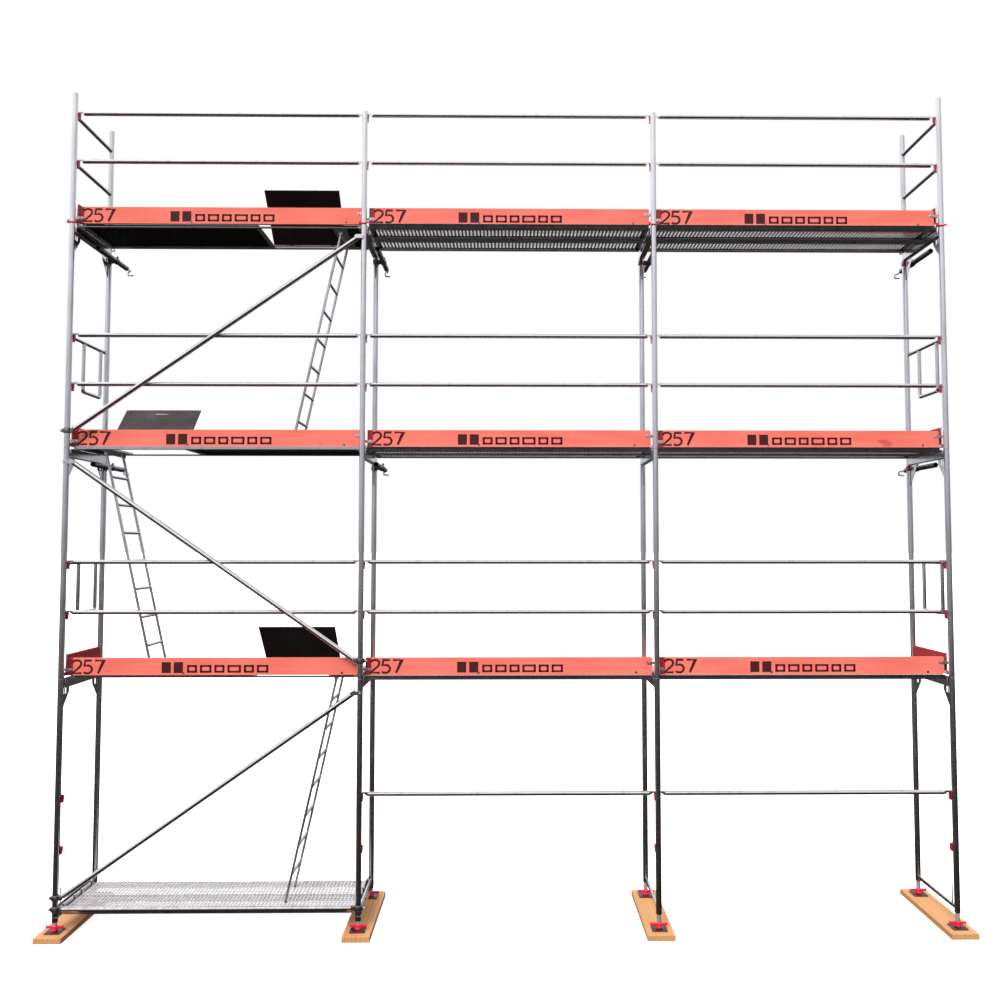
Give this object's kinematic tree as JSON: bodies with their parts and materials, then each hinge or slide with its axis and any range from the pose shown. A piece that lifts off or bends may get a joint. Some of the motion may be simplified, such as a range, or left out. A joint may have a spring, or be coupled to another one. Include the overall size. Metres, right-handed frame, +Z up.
{
  "type": "facade frame scaffold section",
  "caption": "Facade frame scaffold with plank decks, guardrails, toeboards, hatch decks with hanging ladders, diagonal braces, wall ties and screw base jacks on sole boards.",
  "frame": {"origin": "on the ground under the middle of the footprint", "axes": "+X along the bays away from the access bay, +Y from the open front to the wall side, +Z up"},
  "size_m": [7.952, 1.204, 7.342],
  "materials": {
    "pine": "sawn",
    "galvanised": "hot-dip galvanised",
    "bright_zinc": "zinc plated",
    "red_paint": "gloss paint",
    "red_timber": "stained",
    "dark_ply": "film-faced",
    "aluminium": "mill"
  },
  "bodies": {
    "scaffold": {"access_deck_1": "aluminium", "access_deck_2": "aluminium", "access_deck_3": "aluminium", "access_panels": "dark_ply", "base_jacks": "bright_zinc", "base_ledger": "galvanised", "base_transoms": "galvanised", "couplers": "galvanised", "diagonal_braces": "galvanised", "end_guardrails": "galvanised", "end_toeboards": "red_timber", "frame_line_1_lift_1": "galvanised", "frame_line_1_lift_2": "galvanised", "frame_line_1_lift_3": "galvanised", "frame_line_2_lift_1": "galvanised", "frame_line_2_lift_2": "galvanised", "frame_line_2_lift_3": "galvanised", "frame_line_3_lift_1": "galvanised", "frame_line_3_lift_2": "galvanised", "frame_line_3_lift_3": "galvanised", "frame_line_4_lift_1": "galvanised", "frame_line_4_lift_2": "galvanised", "frame_line_4_lift_3": "galvanised", "guard_end_frames": "galvanised", "guard_posts": "galvanised", "guardrails_base": "galvanised", "guardrails_level_1": "galvanised", "guardrails_level_2": "galvanised", "guardrails_level_3": "galvanised", "locking_pins": "red_paint", "rail_boxes": "red_paint", "sole_boards": "pine", "steel_planks_base": "galvanised", "steel_planks_level_1": "galvanised", "steel_planks_level_2": "galvanised", "steel_planks_level_3": "galvanised", "toeboard_fittings": "galvanised", "toeboards_level_1": "red_timber", "toeboards_level_2": "red_timber", "toeboards_level_3": "red_timber", "wall_ties": "galvanised"},
    "nut_1_front": {"wing_nut_1_front": "red_paint"},
    "nut_1_back": {"wing_nut_1_back": "red_paint"},
    "nut_2_front": {"wing_nut_2_front": "red_paint"},
    "nut_2_back": {"wing_nut_2_back": "red_paint"},
    "nut_3_front": {"wing_nut_3_front": "red_paint"},
    "nut_3_back": {"wing_nut_3_back": "red_paint"},
    "nut_4_front": {"wing_nut_4_front": "red_paint"},
    "nut_4_back": {"wing_nut_4_back": "red_paint"},
    "wedges_0": {"rail_wedges_0": "galvanised"},
    "wedges_1": {"rail_wedges_1": "galvanised"},
    "wedges_2": {"rail_wedges_2": "galvanised"},
    "wedges_3": {"rail_wedges_3": "galvanised"},
    "lid_1": {"hatch_lid_1": "dark_ply"},
    "lid_2": {"hatch_lid_2": "dark_ply"},
    "lid_3": {"hatch_lid_3": "dark_ply"},
    "climb_1": {"ladder_1": "aluminium"},
    "climb_2": {"ladder_2": "aluminium"},
    "climb_3": {"ladder_3": "aluminium"}
  },
  "joints": [
    {"name": "nut_1_front_turn", "type": "hinge", "parent": "scaffold", "child": "nut_1_front", "pos_m": [-3.858, -0.468, 0.08], "axis": [0, 0, 1], "continuous": true},
    {"name": "nut_1_back_turn", "type": "hinge", "parent": "scaffold", "child": "nut_1_back", "pos_m": [-3.858, 0.264, 0.08], "axis": [0, 0, 1], "continuous": true},
    {"name": "nut_2_front_turn", "type": "hinge", "parent": "scaffold", "child": "nut_2_front", "pos_m": [-1.286, -0.468, 0.08], "axis": [0, 0, 1], "continuous": true},
    {"name": "nut_2_back_turn", "type": "hinge", "parent": "scaffold", "child": "nut_2_back", "pos_m": [-1.286, 0.264, 0.08], "axis": [0, 0, 1], "continuous": true},
    {"name": "nut_3_front_turn", "type": "hinge", "parent": "scaffold", "child": "nut_3_front", "pos_m": [1.286, -0.468, 0.08], "axis": [0, 0, 1], "continuous": true},
    {"name": "nut_3_back_turn", "type": "hinge", "parent": "scaffold", "child": "nut_3_back", "pos_m": [1.286, 0.264, 0.08], "axis": [0, 0, 1], "continuous": true},
    {"name": "nut_4_front_turn", "type": "hinge", "parent": "scaffold", "child": "nut_4_front", "pos_m": [3.858, -0.468, 0.08], "axis": [0, 0, 1], "continuous": true},
    {"name": "nut_4_back_turn", "type": "hinge", "parent": "scaffold", "child": "nut_4_back", "pos_m": [3.858, 0.264, 0.08], "axis": [0, 0, 1], "continuous": true},
    {"name": "wedges_0_lift", "type": "slide", "parent": "scaffold", "child": "wedges_0", "axis": [0, 0, 1], "range_m": [0, 0.03]},
    {"name": "wedges_1_lift", "type": "slide", "parent": "scaffold", "child": "wedges_1", "axis": [0, 0, 1], "range_m": [0, 0.03]},
    {"name": "wedges_2_lift", "type": "slide", "parent": "scaffold", "child": "wedges_2", "axis": [0, 0, 1], "range_m": [0, 0.03]},
    {"name": "wedges_3_lift", "type": "slide", "parent": "scaffold", "child": "wedges_3", "axis": [0, 0, 1], "range_m": [0, 0.03]},
    {"name": "lid_1_swing", "type": "hinge", "parent": "scaffold", "child": "lid_1", "pos_m": [-1.9015, 0.172, 2.2015], "axis": [-1, 0, 0], "range_deg": [-48.5, 41.5]},
    {"name": "lid_2_swing", "type": "hinge", "parent": "scaffold", "child": "lid_2", "pos_m": [-3.2075, -0.356, 4.2015], "axis": [1, 0, 0], "range_deg": [-46, 44]},
    {"name": "lid_3_swing", "type": "hinge", "parent": "scaffold", "child": "lid_3", "pos_m": [-1.9015, 0.172, 6.2015], "axis": [-1, 0, 0], "range_deg": [-46, 44]},
    {"name": "climb_1_fold", "type": "hinge", "parent": "scaffold", "child": "climb_1", "pos_m": [-1.526, -0.102, 2.149], "axis": [0, 1, 0], "range_deg": [0, 75]},
    {"name": "climb_2_fold", "type": "hinge", "parent": "scaffold", "child": "climb_2", "pos_m": [-3.606, -0.082, 4.149], "axis": [0, -1, 0], "range_deg": [0, 75]},
    {"name": "climb_3_fold", "type": "hinge", "parent": "scaffold", "child": "climb_3", "pos_m": [-1.526, -0.102, 6.149], "axis": [0, 1, 0], "range_deg": [0, 75]}
  ]
}
